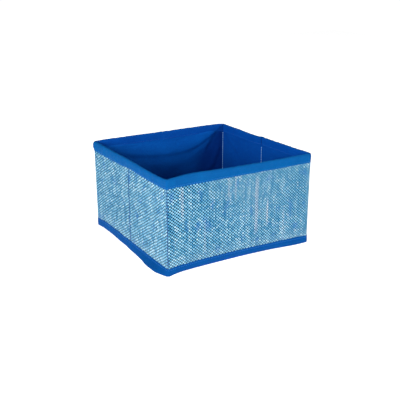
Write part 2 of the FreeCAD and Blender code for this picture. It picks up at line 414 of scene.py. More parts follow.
# ------------------------------------------------------------------ materials
class Nodes:
    """A short way to write a node graph."""

    def __init__(self, name):
        self.mat = bpy.data.materials.new(name)
        self.mat.use_nodes = True
        self.t = self.mat.node_tree
        self.t.nodes.clear()
        self.out = self.t.nodes.new("ShaderNodeOutputMaterial")
        self.bsdf = self.t.nodes.new("ShaderNodeBsdfPrincipled")
        self.t.links.new(self.bsdf.outputs[0], self.out.inputs[0])

    def put(self, socket, v):
        if isinstance(v, bpy.types.NodeSocket):
            self.t.links.new(v, socket)
        elif v is not None:
            socket.default_value = v

    def math(self, op, a, b=None, c=None, clamp=False):
        n = self.t.nodes.new("ShaderNodeMath")
        n.operation = op
        n.use_clamp = clamp
        for k, v in enumerate((a, b, c)):
            self.put(n.inputs[k], v)
        return n.outputs[0]

    def add(self, a, b): return self.math("ADD", a, b)
    def sub(self, a, b): return self.math("SUBTRACT", a, b)
    def mul(self, a, b): return self.math("MULTIPLY", a, b)
    def div(self, a, b): return self.math("DIVIDE", a, b)

    def vec(self, x, y, z=0.0):
        n = self.t.nodes.new("ShaderNodeCombineXYZ")
        for k, v in enumerate((x, y, z)):
            self.put(n.inputs[k], v)
        return n.outputs[0]

    def split(self, v):
        n = self.t.nodes.new("ShaderNodeSeparateXYZ")
        self.put(n.inputs[0], v)
        return n.outputs

    def noise(self, v, scale, detail=2.0, rough=0.5):
        n = self.t.nodes.new("ShaderNodeTexNoise")
        n.inputs["Scale"].default_value = scale
        n.inputs["Detail"].default_value = detail
        n.inputs["Roughness"].default_value = rough
        self.put(n.inputs["Vector"], v)
        return n.outputs[0]

    def white(self, v):
        n = self.t.nodes.new("ShaderNodeTexWhiteNoise")
        n.noise_dimensions = "3D"
        self.put(n.inputs["Vector"], v)
        return n.outputs[0]

    def mix(self, f, a, b, mode="MIX"):
        n = self.t.nodes.new("ShaderNodeMix")
        n.data_type = "RGBA"
        n.blend_type = mode
        n.clamp_factor = True
        self.put(n.inputs[0], f)
        self.put(n.inputs[6], a)
        self.put(n.inputs[7], b)
        return n.outputs[2]

    def span(self, v, a, b, c=0.0, d=1.0):
        n = self.t.nodes.new("ShaderNodeMapRange")
        n.interpolation_type = "SMOOTHSTEP"
        for k, x in zip((0, 1, 2, 3, 4), (v, a, b, c, d)):
            self.put(n.inputs[k], x)
        return n.outputs[0]

    def ramp(self, v, stops):
        n = self.t.nodes.new("ShaderNodeValToRGB")
        self.put(n.inputs[0], v)
        e = n.color_ramp.elements
        while len(e) < len(stops):
            e.new(0.5)
        for k, (p, col) in enumerate(stops):
            e[k].position = p
            e[k].color = (*col, 1)
        return n.outputs[0]

    def cloth(self):
        n = self.t.nodes.new("ShaderNodeUVMap")
        n.uv_map = "cloth"
        s = self.split(n.outputs[0])
        return s[0], s[1]

    def bump(self, h, strength, distance):
        n = self.t.nodes.new("ShaderNodeBump")
        n.inputs["Strength"].default_value = strength
        n.inputs["Distance"].default_value = distance
        self.put(n.inputs["Height"], h)
        self.t.links.new(n.outputs[0], self.bsdf.inputs["Normal"])

    def finish(self, colour, rough=0.85, sheen=0.0, sheen_rough=0.5, spec=0.3, sheen_tint=(1, 1, 1, 1)):
        self.put(self.bsdf.inputs["Base Color"], colour)
        self.put(self.bsdf.inputs["Roughness"], rough)
        self.bsdf.inputs["Sheen Weight"].default_value = sheen
        self.bsdf.inputs["Sheen Roughness"].default_value = sheen_rough
        self.bsdf.inputs["Sheen Tint"].default_value = sheen_tint
        self.bsdf.inputs["Specular IOR Level"].default_value = spec
        return self.mat


def lin(r, g, b):
    """sRGB 0-255 to linear."""
    f = lambda c: c / 12.92 if c <= 0.04045 else ((c + 0.055) / 1.055) ** 2.4
    return tuple(f(c / 255) for c in (r, g, b))


def melange(name, streaks=(), cell=(0.0030, 0.0026), mixed=0.3, slub=0.0, soft=0.0, seam_shade=()):
    """Coarse hopsack of pale and blue yarns, two and two, with the shade of each yarn wandering."""
    g = Nodes(name)
    s, z = g.cloth()
    uv = g.vec(s, z)
    wob = g.noise(uv, 40.0, 1.0)
    wob2 = g.noise(g.vec(z, s, 3.7), 36.0, 1.0)
    sm = g.add(s, g.mul(g.sub(wob, 0.5), 0.0016))
    zm = g.add(z, g.mul(g.sub(wob2, 0.5), 0.0013))
    i2, j2 = g.div(sm, cell[0]), g.div(zm, cell[1])
    i, j = g.mul(i2, 2.0), g.mul(j2, 2.0)
    fi, fj = g.math("FLOOR", i), g.math("FLOOR", j)
    ci, cj = g.math("FLOOR", i2), g.math("FLOOR", j2)
    x, y = g.sub(g.math("FRACT", i), 0.5), g.sub(g.math("FRACT", j), 0.5)
    cx, cy = g.sub(g.math("FRACT", i2), 0.5), g.sub(g.math("FRACT", j2), 0.5)
    over = g.math("LESS_THAN", g.math("FLOORED_MODULO", g.add(ci, cj), 2.0), 0.5)
    under = g.sub(1.0, over)
    # crown across each yarn, and arch along each float
    crown_w = g.math("SQRT", g.math("SUBTRACT", 1.0, g.mul(g.mul(x, x), 2.4), clamp=True))
    crown_h = g.math("SQRT", g.math("SUBTRACT", 1.0, g.mul(g.mul(y, y), 2.4), clamp=True))
    arch_w = g.math("SUBTRACT", 1.0, g.mul(g.mul(cy, cy), 2.2), clamp=True)
    arch_h = g.math("SUBTRACT", 1.0, g.mul(g.mul(cx, cx), 2.2), clamp=True)
    hw = g.mul(crown_w, g.add(0.40, g.mul(0.60, arch_w)))
    hh = g.mul(crown_h, g.add(0.22, g.mul(0.50, arch_h)))
    h = g.add(g.mul(over, hw), g.mul(under, hh))
    # warp: each yarn its own mix, with slubs along it
    wr = g.white(g.vec(fi, 5.0, 1.0))
    ws = g.noise(g.vec(g.mul(fi, 3.17), g.mul(zm, 60.0), 0.0), 1.0, 2.0, 0.6)
    wf = g.white(g.vec(ci, cj, 3.0))
    bd = g.noise(g.vec(g.mul(s, 95.0), g.mul(z, 14.0), 9.0), 1.0, 1.0)
    rest = 1.0 - mixed
    wc = g.add(g.mul(g.sub(wf, 0.5), mixed * 1.2), g.add(g.mul(g.sub(wr, 0.5), 0.16), g.mul(g.sub(ws, 0.5), 0.6 * rest + 0.2)))
    wc = g.add(g.add(0.52, wc), g.mul(g.sub(bd, 0.5), 0.30))
    if slub:
        sl = g.noise(g.vec(g.mul(sm, 150.0), g.mul(cj, 2.7), 1.0), 1.0, 1.0)
        wc = g.add(wc, g.mul(g.sub(sl, 0.5), slub))
    warp = g.ramp(wc, [(0.08, lin(10, 78, 126)), (0.34, lin(66, 140, 180)), (0.60, lin(124, 184, 212)), (0.86, lin(192, 226, 240))])
    for sa, w, z0, z1, amount, tint in streaks:
        f = g.span(g.math("ABSOLUTE", g.sub(s, sa)), w, w * 0.35)
        f = g.mul(f, g.mul(g.span(z, z0 - 0.010, z0 + 0.006), g.span(z, z1 + 0.008, z1 - 0.008)))
        f = g.mul(f, g.add(0.45, g.mul(0.75, g.noise(g.vec(fi, g.mul(z, 60.0), 1.0), 1.0, 1.0))))
        warp = g.mix(g.mul(f, amount), warp, (*lin(*tint), 1))
    hs = g.noise(g.vec(g.mul(sm, 46.0), g.mul(fj, 2.71), 6.0), 1.0, 2.0, 0.6)
    hf = g.white(g.vec(ci, cj, 17.0))
    hc = g.add(g.mul(g.sub(hf, 0.5), mixed * 1.1), g.mul(g.sub(hs, 0.5), 0.6 * rest + 0.2))
    hc = g.add(0.46, hc)
    if slub:
        hc = g.add(hc, g.mul(g.sub(sl, 0.5), slub))
    weft = g.ramp(hc, [(0.10, lin(0, 6, 26)), (0.42, lin(0, 42, 72)), (0.68, lin(16, 70, 104)), (0.92, lin(72, 124, 158))])
    col = g.mix(over, weft, warp)
    if soft:
        col = g.mix(soft, col, (*lin(112, 150, 174), 1))
    # painted shade: the cloth is made darker along each seam and fold, where the groove would be in shade
    for sa, w, amount in seam_shade:
        f = g.span(g.math("ABSOLUTE", g.sub(s, sa)), w, w * 0.3)
        f = g.mul(f, g.add(0.55, g.mul(0.9, g.noise(g.vec(3.0, g.mul(z, 240.0), sa * 40.0), 1.0, 1.0))))
        col = g.mix(g.mul(f, amount), col, (*lin(2, 54, 106), 1))
    # places where the strong blue comes through
    blot = g.noise(g.vec(g.mul(s, 62.0), g.mul(z, 34.0), 4.0), 1.0, 2.0)
    col = g.mix(g.mul(g.span(blot, 0.58, 0.70), 0.42), col, (*lin(10, 84, 156), 1))
    # greyer towards the foot
    foot = g.span(z, 0.038, 0.012)
    col = g.mix(g.mul(foot, 0.15), col, (*lin(150, 176, 192), 1))
    fuzz = g.noise(uv, 2600.0, 2.0)
    shade = g.add(0.50, g.mul(0.56, h))
    shade = g.add(shade, g.mul(g.sub(fuzz, 0.5), 0.18))
    col = g.mix(1.0, col, g.vec(shade, shade, shade), "MULTIPLY")
    g.bump(g.add(h, g.mul(fuzz, 0.25)), 0.45, 0.00040)
    return g.finish(col, 0.92, 0.0, 0.6, 0.10)


def plain_cloth(name, base, deep, light, pitch, ribs=0.0, bump=0.4, rough=0.8, sheen=0.15, tint=(0.5, 0.7, 1, 1), spec=0.3, vary=0.5, inner_leg_shade=None, seam_shade=(), painted_corner_shade=None):
    """Fine plain weave or tape. ribs > 0 makes cross ribs that stand out."""
    g = Nodes(name)
    s, z = g.cloth()
    uv = g.vec(s, z)
    i, j = g.div(s, pitch[0]), g.div(z, pitch[1])
    fi, fj = g.math("FLOOR", i), g.math("FLOOR", j)
    x, y = g.sub(g.math("FRACT", i), 0.5), g.sub(g.math("FRACT", j), 0.5)
    par = g.math("FLOORED_MODULO", g.add(fi, fj), 2.0)
    cw = g.sub(1.0, g.mul(g.mul(x, x), 3.6))
    ch = g.sub(1.0, g.mul(g.mul(y, y), 3.6))
    h = g.add(g.mul(par, g.mul(cw, g.add(0.6, g.mul(ch, 0.4)))), g.mul(g.sub(1.0, par), g.mul(ch, g.add(0.5, g.mul(cw, 0.4)))))
    if ribs:
        h = g.add(g.mul(h, 1.0 - ribs), g.mul(cw, ribs))
    big = g.noise(uv, 26.0, 3.0, 0.55)
    mid = g.noise(g.vec(g.mul(s, 1.0), g.mul(z, 2.2), 2.0), 160.0, 2.0)
    yarn = g.white(g.vec(fi, fj, 1.0))
    fuzz = g.noise(uv, 2200.0, 2.0)
    v = g.add(g.mul(big, 0.45), g.add(g.mul(mid, 0.35), g.mul(yarn, 0.20)))
    v = g.add(0.5, g.mul(g.sub(v, 0.5), vary * 2.4))
    col = g.ramp(v, [(0.15, lin(*deep)), (0.5, lin(*base)), (0.88, lin(*light))])
    if inner_leg_shade:
        # painted shade: past the fold the inner leg takes a darker, shaded copy of the tape's colour
        col = g.mix(g.span(z, 0.0175, 0.0215), col, g.ramp(v, [(0.15, lin(*inner_leg_shade[0])), (0.5, lin(*inner_leg_shade[1])), (0.88, lin(*inner_leg_shade[2]))]))
    # painted shade: dark lines across the tape's inner leg at the corners and leaf folds
    for sa, w, amount in seam_shade:
        f = g.mul(g.span(g.math("ABSOLUTE", g.sub(s, sa)), w, w * 0.25), g.span(z, 0.0165, 0.0200))
        col = g.mix(g.mul(f, amount), col, (*lin(0, 24, 78), 1))
    if painted_corner_shade:
        # painted shade: the cloth is darker beside a corner and lower down, standing in for the shade there
        sc, reach, low, high, amount, tone = painted_corner_shade
        near = g.sub(1.0, g.span(g.math("ABSOLUTE", g.sub(s, sc)), reach[0], reach[1]))
        under = g.sub(1.0, g.span(g.add(z, g.mul(g.math("ABSOLUTE", g.sub(s, sc)), 1.1)), low, high))
        col = g.mix(g.mul(g.mul(near, under), amount), col, (*lin(*tone), 1))
    shade = g.add(0.80, g.mul(0.24, h))
    shade = g.add(shade, g.mul(g.sub(fuzz, 0.5), 0.16))
    col = g.mix(1.0, col, g.vec(shade, shade, shade), "MULTIPLY")
    g.bump(g.add(h, g.add(g.mul(fuzz, 0.3), g.mul(mid, 0.6))), bump, 0.00018)
    r = g.add(rough - 0.06, g.mul(mid, 0.12))
    return g.finish(col, r, sheen, 0.5, spec, tint)


def thread(name, a, b, rough=0.6):
    g = Nodes(name)
    tc = g.t.nodes.new("ShaderNodeTexCoord")
    n = g.noise(tc.outputs["Object"], 900.0, 2.0)
    w = g.t.nodes.new("ShaderNodeTexWave")
    w.wave_type = "BANDS"
    w.bands_direction = "DIAGONAL"
    w.inputs["Scale"].default_value = 900.0
    g.put(w.inputs["Vector"], tc.outputs["Object"])
    col = g.ramp(g.add(g.mul(n, 0.6), g.mul(w.outputs[1], 0.4)), [(0.2, lin(*a)), (0.8, lin(*b))])
    g.bump(w.outputs[1], 0.4, 0.0001)
    return g.finish(col, rough, 0.1, 0.5, 0.35)


def card(name):
    g = Nodes(name)
    tc = g.t.nodes.new("ShaderNodeTexCoord")
    n = g.noise(tc.outputs["Object"], 120.0, 4.0, 0.6)
    f = g.noise(tc.outputs["Object"], 1500.0, 3.0, 0.6)
    col = g.ramp(g.add(g.mul(n, 0.6), g.mul(f, 0.4)), [(0.25, lin(118, 104, 88)), (0.75, lin(168, 154, 134))])
    g.bump(f, 0.3, 0.0002)
    return g.finish(col, 0.9, 0.0, 0.5, 0.25)


S_ = lambda v: v * MM
STREAKS_FRONT = (
    (S_(S_FRONT(31) + PERIM), 0.0046, 0.040, 0.136, 0.42, (226, 226, 234)),
    (S_(S_FRONT(53.5) + PERIM), 0.0022, 0.055, 0.090, 0.75, (236, 240, 244)),
    (S_(S_FRONT(-112) + PERIM), 0.0034, 0.093, 0.143, 0.50, (206, 214, 220)),
    (S_(S_FRONT(-25) + PERIM), 0.0020, 0.112, 0.146, 0.55, (222, 232, 240)),
    (S_(S_FRONT(-12) + PERIM), 0.0020, 0.108, 0.146, 0.45, (222, 232, 240)),
    (S_(S_FRONT(88) + PERIM), 0.0026, 0.020, 0.070, 0.35, (210, 222, 230)),
    (S_(S_FRONT(-70) + PERIM), 0.0030, 0.030, 0.075, 0.30, (206, 216, 224)),
)
M_FRONT = melange("outer_weave_front", STREAKS_FRONT, (0.00290, 0.00254), 0.28)
# the last list gives painted shade along the corner and middle seams
M_SIDE = melange("outer_weave_side", (), (0.0040, 0.00250), 0.34, 0.50, 0.20, [
    (S_(S_FL), 0.0018, 0.85), (S_(S_LEFT(0)), 0.0022, 0.70), (S_(S_RL), 0.0016, 0.5),
    (S_(S_FR + PERIM), 0.0016, 0.5), (S_(S_RIGHT(0) + PERIM), 0.0022, 0.6), (S_(S_RR + PERIM), 0.0016, 0.5),
])
M_LIN = plain_cloth("blue_lining", (0, 78, 164), (0, 68, 150), (2, 90, 178), (0.00052, 0.00056), bump=0.5, rough=0.8, sheen=0.0, spec=0.05)
# the inner leg gets a painted shaded copy of the tape's colour and painted dark lines at the corners and folds
M_TOP = plain_cloth("blue_tape_top", (0, 79, 142), (0, 69, 130), (2, 91, 154), (0.00075, 0.00060), ribs=0.5, bump=0.6, rough=0.75, sheen=0.0, spec=0.05, inner_leg_shade=((0, 58, 142), (0, 70, 158), (2, 84, 174)),
                    seam_shade=[(S_(v), 0.0016, 0.8) for v in (S_FL, S_FR, S_RR, S_RL, S_LEFT(0), S_RIGHT(0))])
M_BOT = plain_cloth("blue_tape_bottom", (0, 69, 135), (0, 59, 123), (2, 81, 147), (0.00075, 0.00060), ribs=0.5, bump=0.6, rough=0.75, sheen=0.0, spec=0.05)
# painted shade beside the rear right corner
M_LIN_REAR = plain_cloth("blue_lining_rear", (0, 78, 164), (0, 68, 150), (2, 90, 178), (0.00052, 0.00056), bump=0.5, rough=0.8, sheen=0.0, spec=0.05, painted_corner_shade=(S_(S_RR), (0.045, 0.085), 0.150, 0.185, 0.75, (0, 36, 112)))
# painted shade: a darker copy of the lining for the inner right wall
M_LIN_SIDE_SHADED = plain_cloth("blue_lining_side_shaded", (0, 66, 150), (0, 56, 136), (2, 78, 164), (0.00052, 0.00056), bump=0.5, rough=0.8, sheen=0.0, spec=0.05)
M_FLOOR = plain_cloth("floor_cloth", (0, 70, 150), (0, 58, 134), (6, 86, 166), (0.00060, 0.00060), bump=0.5, rough=0.85, sheen=0.0, spec=0.12)
# painted shade: the pale thread inside the bin is given a darker blue tone
M_WHITE_SHADED = thread("light_thread", (104, 172, 238), (180, 220, 252))
M_DARK = thread("dark_thread", (0, 42, 98), (14, 74, 138))
M_BIND = thread("binding_thread", (2, 80, 166), (24, 112, 198))
# painted shade: a darker copy of the binding thread for the stitches inside the rim
M_BIND_IN_SHADED = thread("binding_thread_in_shaded", (0, 56, 136), (4, 74, 158))
M_CARD = card("grey_board")

# ------------------------------------------------------------------ pieces
SPANS = {
    "front": ("front_a", "front_b"),
    "right_front": ("front_b", "right_b"),
    "right_rear": ("right_b", "rr_split"),
    "rear": ("rr_split", "left_a"),
    "left_rear": ("left_a", "left_b"),
    "left_front": ("left_b", "front_a"),
}
BLENDS = {
    "right_front": ("front_wall", "right_front_leaf", (0.1330, -0.1342, 0.08), (0.1392, -0.1260, 0.08)),
    "right_rear": ("right_front_leaf", "right_rear_leaf", (0.1392, -0.0080, 0.08), (0.1392, 0.0080, 0.08)),
    "rear": ("left_rear_leaf", "rear_wall", (-0.1392, 0.1260, 0.08), (-0.1330, 0.1342, 0.08)),
    "left_rear": ("left_front_leaf", "left_rear_leaf", (-0.1392, -0.0080, 0.08), (-0.1392, 0.0080, 0.08)),
    "left_front": ("front_wall", "left_front_leaf", (-0.1330, -0.1342, 0.08), (-0.1392, -0.1260, 0.08)),
}
BODY = {
    "front": "front_wall", "right_front": "right_front_leaf", "right_rear": "right_rear_leaf",
    "rear": "rear_wall", "left_rear": "left_rear_leaf", "left_front": "left_front_leaf",
}


def attach(ob, part):
    if part in BLENDS:
        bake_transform(ob)
    else:
        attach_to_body(ob, BODY[part])


# outer fabric ----------------------------------------------------------
def pucker(s, z):
    """Small puckers next to the sewn edges."""
    top = bell(z - 141, 7) * (0.16 * n_edge(s * 1.0) + 0.12 * n_edge2(s))
    bot = bell(z - 15, 8) * (0.20 * n_edge(s + 40) + 0.12 * n_edge2(s + 9))
    return np.clip(top + bot, -0.30, 0.34)


rows_out = np.concatenate([[10.6, 11.6, 12.6], np.linspace(14, 140, 52), [141.5, 143, 144.5, 146, 147.5]])
L_OUT = layer(rows_out, D_OUT0, D_OUT1, lambda s, z: pucker(s, z), lambda s, z: pucker(s, z))
# the wall turns under into the foot binding
for part in SPANS:
    A, B, NA, NB, s, v = cut(L_OUT, *SPANS[part])
    if part in ("front", "right_front", "right_rear"):
        s = s + PERIM
    mid = (s[1:] + s[:-1]) / 2 % PERIM
    ob = strip(part + "_outer_panel", A, B, NA, NB, s, v, [M_FRONT, M_SIDE], ((mid > S_FR) & (mid < S_RR)) | ((mid > S_RL) & (mid < S_FL)))
    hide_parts(part + "_outer_fabric")
    attach(ob, part)

# boards ----------------------------------------------------------------
BOARDS = {
    "front": ("front_a", "front_b"), "rear": None, "left_front": ("left_b", "left_d"), "left_rear": ("left_a", "left_b0"),
    "right_front": ("right_a", "right_b"), "right_rear": ("right_c", "right_d"),
}
L_BRD = layer(np.linspace(13.6, 156.6, 30), D_BRD0, D_BRD1)
for part, sp in BOARDS.items():
    if sp is None:
        i = int(np.argmin(np.abs(SC - S_REAR(125)))), int(np.argmin(np.abs(SC - S_REAR(-125))))
        mark["rear_a"], mark["rear_b"] = i
        sp = ("rear_a", "rear_b")
    A, B, NA, NB, s, v = cut(L_BRD, *sp)
    ob = strip(part + "_board_panel", A, B, NA, NB, s, v, [M_CARD])
    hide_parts(part + "_board")
    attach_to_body(ob, BODY[part])


# lining ------------------------------------------------------------------
def crease(x, z, pts, amp, w, valley=0.8):
    """A soft fold along a line of points: a ridge with a valley on its right hand side."""
    p = np.array(pts, float)
    seg = np.diff(p, axis=0)
    ln = np.linalg.norm(seg, axis=1)
    run = np.concatenate([[0], np.cumsum(ln)]) / ln.sum()
    best = np.full(np.shape(x + z), 1e9)
    side = np.zeros_like(best)
    tt = np.zeros_like(best)
    for k in range(len(seg)):
        rx, rz = x - p[k, 0], z - p[k, 1]
        t = np.clip((rx * seg[k, 0] + rz * seg[k, 1]) / ln[k] ** 2, 0, 1)
        dx, dz = rx - t * seg[k, 0], rz - t * seg[k, 1]
        d = np.hypot(dx, dz)
        c = seg[k, 0] * rz - seg[k, 1] * rx
        better = d < best
        best = np.where(better, d, best)
        side = np.where(better, np.sign(c), side)
        tt = np.where(better, run[k] + t * (run[k + 1] - run[k]), tt)
    sd = best * side
    taper = smooth(0.0, 0.12, tt) * smooth(1.0, 0.62, tt)
    return amp * taper * (bell(sd + 0.6 * w, w) - valley * bell(sd - 0.9 * w, w))


r_fold = np.random.default_rng(41)


def small_creases(half, n, amp, z0=147, drop=(8, 24), w=(2.4, 4.2)):
    out = []
    for k in range(n):
        x0 = r_fold.uniform(-half, half)
        dz = r_fold.uniform(*drop)
        dx = r_fold.uniform(-14, 14)
        out.append(([(x0, z0), (x0 + dx * 0.4, z0 - dz * 0.5), (x0 + dx, z0 - dz)], amp * r_fold.uniform(0.4, 1), r_fold.uniform(*w), r_fold.uniform(0.4, 1)))
    return out


REAR_FOLDS = [
    ([(131, 118), (122, 96), (110, 76), (92, 58)], 0.9, 6.5, 0.7),
    ([(120, 146), (108, 132), (97, 116), (86, 98)], 0.6, 4.0, 0.7),
    ([(60, 146), (30, 141), (-8, 143), (-44, 140)], 0.35, 2.6, 0.7),
    ([(108, 147), (88, 142), (66, 144)], 0.4, 2.4, 0.7),
    ([(-40, 146), (-66, 141), (-92, 144)], 0.35, 2.6, 0.7),
] + small_creases(120, 8, 0.22)
SIDE_FOLDS = [
    ([(126, 148), (112, 132), (88, 118), (60, 108)], 0.5, 4.5, 0.8),
    ([(20, 146), (34, 124), (52, 96), (50, 66)], 0.35, 5.0, 0.7),
    ([(-110, 70), (-80, 52), (-40, 48)], 0.4, 6.0, 0.7),
    ([(108, 64), (82, 48), (38, 42)], 0.4, 6.0, 0.7),
] + small_creases(118, 8, 0.22)
FRONT_FOLDS = [([(-131, 118), (-122, 96), (-110, 76), (-92, 58)], 0.7, 6.5, 0.7)] + small_creases(120, 8, 0.25)

# slack cloth hangs in swags from the upper corners: the crest line of each, its stand-out, the run above it, the drop below it
REAR_SWAGS = [
    ([(-131, 148), (-100, 134), (-75, 126), (-40, 120.5), (0, 116.5), (40, 117), (62, 120), (80, 127), (100, 139), (114, 148), (131, 160)], 2.8, 25.0, 0.78, 7.0),
    ([(-131, 124), (-60, 106), (-30, 99), (0, 96), (28, 93), (48, 94), (64, 100), (78, 110), (93, 124), (108, 140), (120, 152), (131, 164)], 0.95, 13.0, 0.95, 13.0),
]
SIDE_SWAGS = [([(-128, 146), (-90, 138), (0, 135), (70, 134), (104, 139), (128, 150)], 0.62, 10.0, 0.6, 5.0)]
FRONT_SWAGS = [([(-131, 150), (-96, 130), (-50, 118), (10, 114), (70, 120), (106, 134), (131, 152)], 1.9, 24.0, 0.6, 9.0)]


def swag(x, z, line, amp, run, drop, w):
    p = np.array(line, float)
    c = np.interp(x, p[:, 0], p[:, 1])
    for k in (-9, -4.5, 4.5, 9):                      # rounds the corners of the line
        c = c + np.interp(x + k, p[:, 0], p[:, 1])
    c = c / 5
    slope = (np.interp(x + 4, p[:, 0], p[:, 1]) - np.interp(x - 4, p[:, 0], p[:, 1])) / 8
    t = (z - c) / np.sqrt(1 + slope**2)
    return amp * smooth(run, 0, t) * (1 - drop * smooth(0, -w, t))


def wall_of(s):
    """Which wall and the place along it for each s: 0 front, 1 right, 2 rear, 3 left."""
    s = np.asarray(s, float) % PERIM
    c = [S_FR, S_RR, S_RL, S_FL]
    return np.where(s < c[0], 0, np.where(s < c[1], 1, np.where(s < c[2], 2, np.where(s < c[3], 3, 0))))


def billow(s, z):
    """How far the slack lining stands in from its board."""
    s, z = np.broadcast_arrays(s, z)
    w = wall_of(s)
    out = np.zeros(s.shape)
    for k, (along, folds, swags, cap) in enumerate((
        (s - S_FRONT(0), FRONT_FOLDS, FRONT_SWAGS, 2.4),
        (s - S_RIGHT(0), SIDE_FOLDS, SIDE_SWAGS, 0.9),
        (S_REAR(0) - s, REAR_FOLDS, REAR_SWAGS, 3.4),
        (S_LEFT(0) - s, SIDE_FOLDS, SIDE_SWAGS, 0.9),
    )):
        m = w == k
        x, zz = along[m], z[m]
        half = 128 if k in (1, 3) else 133
        b = np.zeros(x.shape)
        for line, amp, run, drop, wd in swags:
            b = b + swag(x, zz, line, amp, run, drop, wd)
        for pts, a, wd, v in folds:
            b = b + crease(x, zz, pts, a, wd, v)
        b = b + 0.10 * n_edge(s[m] + 0.7 * zz) * smooth(147, 141, zz) * smooth(120, 141, zz) + 0.08 * n_wall2(s[m] * 1.0 + 2.1 * zz)
        edge = smooth(0, 7, half + 0.5 - np.abs(x)) * smooth(150, 143, zz) * smooth(10, 24, zz)
        if k in (1, 3):
            edge = edge * smooth(1.0, 8, np.abs(x))
        out[m] = np.clip(b, -0.05, cap) * edge
    return out


def groove(s, z):
    """The lining dips into the gap between two leaves."""
    return -0.9 * bell(mid_dist(s), 1.5)


LINING_SPANS = {
    "front": ("fl_split", "fr_split"),
    "right_front": ("fr_split", "right_b"),
    "right_rear": ("right_b", "rr_split"),
    "rear": ("rr_split", "rl_split"),
    "left_rear": ("rl_split", "left_b"),
    "left_front": ("left_b", "fl_split"),
}
rows_lin = np.concatenate([np.linspace(12, 138, 64), np.linspace(139.5, 148.5, 7)])
f_lin = lambda s, z: billow(s, z) + groove(s, z)
L_LIN = layer(rows_lin, D_LIN0, D_LIN1, f_lin, f_lin, foot=False)
HEM_SPANS = {
    "front": ("fl_split", "fr_split"),
    "right_front": ("fr_split", "right_mid"),
    "right_rear": ("right_mid", "rr_split"),
    "rear": ("rr_split", "rl_split"),
    "left_rear": ("rl_split", "left_mid"),
    "left_front": ("left_mid", "fl_split"),
}
L_HEM = layer([0.9, 2.0, 3.5, 5.5, 7.5, 9.5, 11.2, 12.4], D_LIN0, D_LIN1, groove, groove, foot=False)
for part in SPANS:
    A, B, NA, NB, s, v = cut(L_LIN, *LINING_SPANS[part])
    ob = strip(part + "_lining_panel", A, B, NA, NB, s, v, [M_LIN_SIDE_SHADED if part in ("right_front", "right_rear") else M_LIN_REAR if part == "rear" else M_LIN])
    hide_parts(part + "_lining")
    if part in ("left_rear", "right_rear"):
        attach(ob, part)
    else:
        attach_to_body(ob, BODY[part])
        if part in ("front", "rear"):
            y = -0.1312 if part == "front" else 0.1312
            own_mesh(ob)
    A, B, NA, NB, s, v = cut(L_HEM, *HEM_SPANS[part])
    hem = strip(part + "_lining_hem", A, B, NA, NB, s, v, [M_LIN])
    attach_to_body(hem, BODY[part])
    if part != "front":
        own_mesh(hem)

# top binding ---------------------------------------------------------------
TOP = [
    (0.26, 143.9), (0.16, 144.3), (0.22, 145.4), (0.30, 146.2), (0.08, 147.4), (-0.14, 149.4), (-0.30, 152.2), (-0.26, 154.8),
    (-0.05, 156.8), (0.35, 158.3), (1.0, 159.3), (1.8, 159.85), (2.65, 160.0), (3.5, 159.85), (4.3, 159.3), (4.95, 158.3),
    (5.08, 156.8), (5.10, 154.8), (5.08, 152.2), (5.00, 149.4), (4.92, 147.6), (4.84, 146.5), (4.90, 145.7), (4.92, 145.1), (4.84, 144.8),
]
leg_up = ring([
    (S_FRONT(-128), 0.0), (S_FRONT(-103), -2.0), (S_FRONT(-82), -1.9), (S_FRONT(-62), -1.4), (S_FRONT(-40), -0.5), (S_FRONT(0), 0.2), (S_FRONT(60), 0.2), (S_FRONT(125), 0.3), (S_FR, 0.2), (S_RIGHT(-60), 0.0),
    (S_RIGHT(60), 0.0), (S_RR, 0.0), (S_REAR(0), -1.0), (S_RL, -0.8), (S_LEFT(100), -1.3), (S_LEFT(60), -0.6), (S_LEFT(30), -0.3), (S_LEFT(-12), 1.8), (S_LEFT(-40), 1.2), (S_LEFT(-100), 1.2), (S_FL, 0.2),
])
TAPE = 0.55


def rounded(pts):
    """One round of corner cutting: twice the points and a smooth line."""
    p = np.array(pts, float)
    q = np.empty((2 * len(p) - 2, 2))
    q[0::2] = 0.75 * p[:-1] + 0.25 * p[1:]
    q[1::2] = 0.25 * p[:-1] + 0.75 * p[1:]
    return np.vstack([p[:1], q, p[-1:]])




def section_strip(profile, fn, thick):
    """Grids round the bin for a profile of (depth, height) points, moved by fn(s, k, d, z)."""
    pr = np.array(profile, float)
    s = SC[:, None]
    d = np.broadcast_to(pr[None, :, 0], (NC, len(pr)))
    z = np.broadcast_to(pr[None, :, 1], (NC, len(pr)))
    d, z = fn(s, d, z)
    A = place(s, d, z)
    NA = ring_normals(A)
    B = A - NA * thick
    run = np.concatenate([[0], np.cumsum(np.hypot(*np.diff(pr, axis=0).T))])
    return A, B, NA, -NA, run


